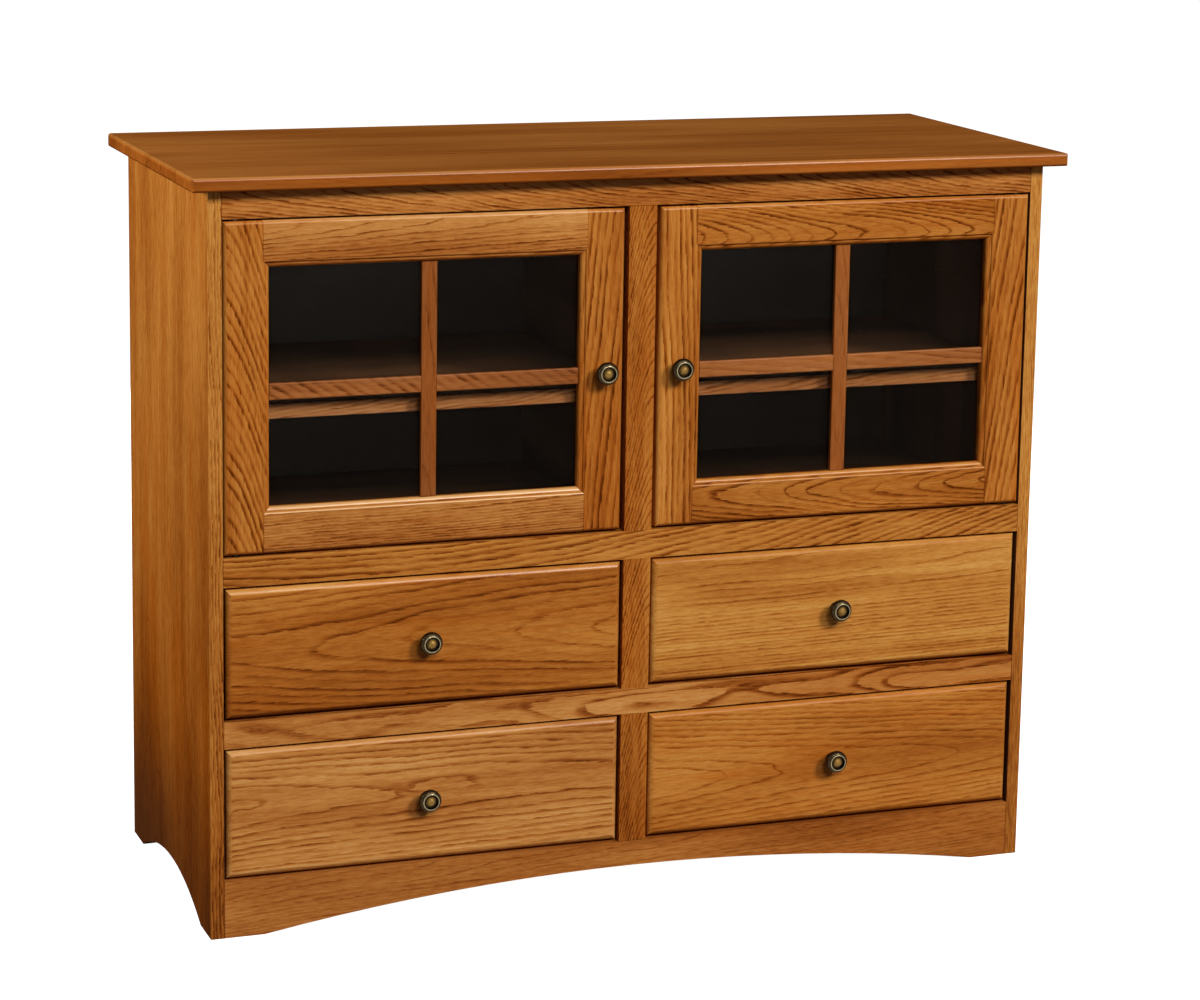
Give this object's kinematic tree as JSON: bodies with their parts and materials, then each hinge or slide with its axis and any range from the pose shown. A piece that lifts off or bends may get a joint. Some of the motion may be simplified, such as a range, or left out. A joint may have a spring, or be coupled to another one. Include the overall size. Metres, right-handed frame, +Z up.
{
  "type": "tv stand",
  "caption": "Oak television stand with glazed muntin doors over inset drawers, arched apron and feet, brass knobs, a shelf behind each door, pivot doors and sliding drawers.",
  "frame": {"origin": "centre of the footprint's bounding box, on the floor", "axes": "+Z up, +X to the right as seen from the front, the doors and drawers face -Y"},
  "size_m": [1.274, 0.523, 1.046],
  "materials": {
    "oak": "satin golden-brown stain",
    "drawer_wood": "clear satin",
    "plywood": "clear satin",
    "glass": "clear polished",
    "antique_brass": "dark antique, worn bright on the ring and button",
    "zinc_steel": "zinc plated",
    "dark_plastic": "matte brown"
  },
  "bodies": {
    "cabinet": {"top_panel": "oak", "side_panel_left": "oak", "side_panel_right": "oak", "top_face_rail": "oak", "middle_face_rail": "oak", "lower_face_rail": "oak", "front_apron": "oak", "center_face_stiles": "oak", "center_dividers": "oak", "compartment_floor": "oak", "cabinet_bottom": "oak", "back_panel": "plywood", "top_cleats": "drawer_wood", "shelves": "oak", "shelf_pins": "zinc_steel", "slide_spacers": "drawer_wood", "slide_cabinet_members": "zinc_steel", "hinge_sockets": "zinc_steel", "door_catches": "dark_plastic", "cabinet_screws": "zinc_steel"},
    "left_door": {"left_door_hinge_stile": "oak", "left_door_knob_stile": "oak", "left_door_top_rail": "oak", "left_door_bottom_rail": "oak", "left_door_upright_muntin": "oak", "left_door_cross_muntins": "oak", "left_door_glass": "glass", "left_door_glass_stops": "oak", "left_door_fittings": "zinc_steel", "left_door_knob": "antique_brass"},
    "right_door": {"right_door_hinge_stile": "oak", "right_door_knob_stile": "oak", "right_door_top_rail": "oak", "right_door_bottom_rail": "oak", "right_door_upright_muntin": "oak", "right_door_cross_muntins": "oak", "right_door_glass": "glass", "right_door_glass_stops": "oak", "right_door_fittings": "zinc_steel", "right_door_knob": "antique_brass"},
    "upper_left_drawer": {"upper_left_drawer_front": "oak", "upper_left_drawer_box": "drawer_wood", "upper_left_drawer_bottom": "plywood", "upper_left_drawer_slides": "zinc_steel", "upper_left_drawer_knob": "antique_brass"},
    "upper_right_drawer": {"upper_right_drawer_front": "oak", "upper_right_drawer_box": "drawer_wood", "upper_right_drawer_bottom": "plywood", "upper_right_drawer_slides": "zinc_steel", "upper_right_drawer_knob": "antique_brass"},
    "lower_left_drawer": {"lower_left_drawer_front": "oak", "lower_left_drawer_box": "drawer_wood", "lower_left_drawer_bottom": "plywood", "lower_left_drawer_slides": "zinc_steel", "lower_left_drawer_knob": "antique_brass"},
    "lower_right_drawer": {"lower_right_drawer_front": "oak", "lower_right_drawer_box": "drawer_wood", "lower_right_drawer_bottom": "plywood", "lower_right_drawer_slides": "zinc_steel", "lower_right_drawer_knob": "antique_brass"}
  },
  "joints": [
    {"name": "left_door_hinge", "type": "hinge", "parent": "cabinet", "child": "left_door", "pos_m": [-0.5715, -0.225, 0.7595], "axis": [0, 0, -1], "range_deg": [0, 110]},
    {"name": "right_door_hinge", "type": "hinge", "parent": "cabinet", "child": "right_door", "pos_m": [0.5715, -0.225, 0.7595], "axis": [0, 0, 1], "range_deg": [0, 110]},
    {"name": "upper_left_drawer_slide", "type": "slide", "parent": "cabinet", "child": "upper_left_drawer", "axis": [0, -1, 0], "range_m": [0, 0.3]},
    {"name": "upper_right_drawer_slide", "type": "slide", "parent": "cabinet", "child": "upper_right_drawer", "axis": [0, -1, 0], "range_m": [0, 0.3]},
    {"name": "lower_left_drawer_slide", "type": "slide", "parent": "cabinet", "child": "lower_left_drawer", "axis": [0, -1, 0], "range_m": [0, 0.3]},
    {"name": "lower_right_drawer_slide", "type": "slide", "parent": "cabinet", "child": "lower_right_drawer", "axis": [0, -1, 0], "range_m": [0, 0.3]}
  ]
}
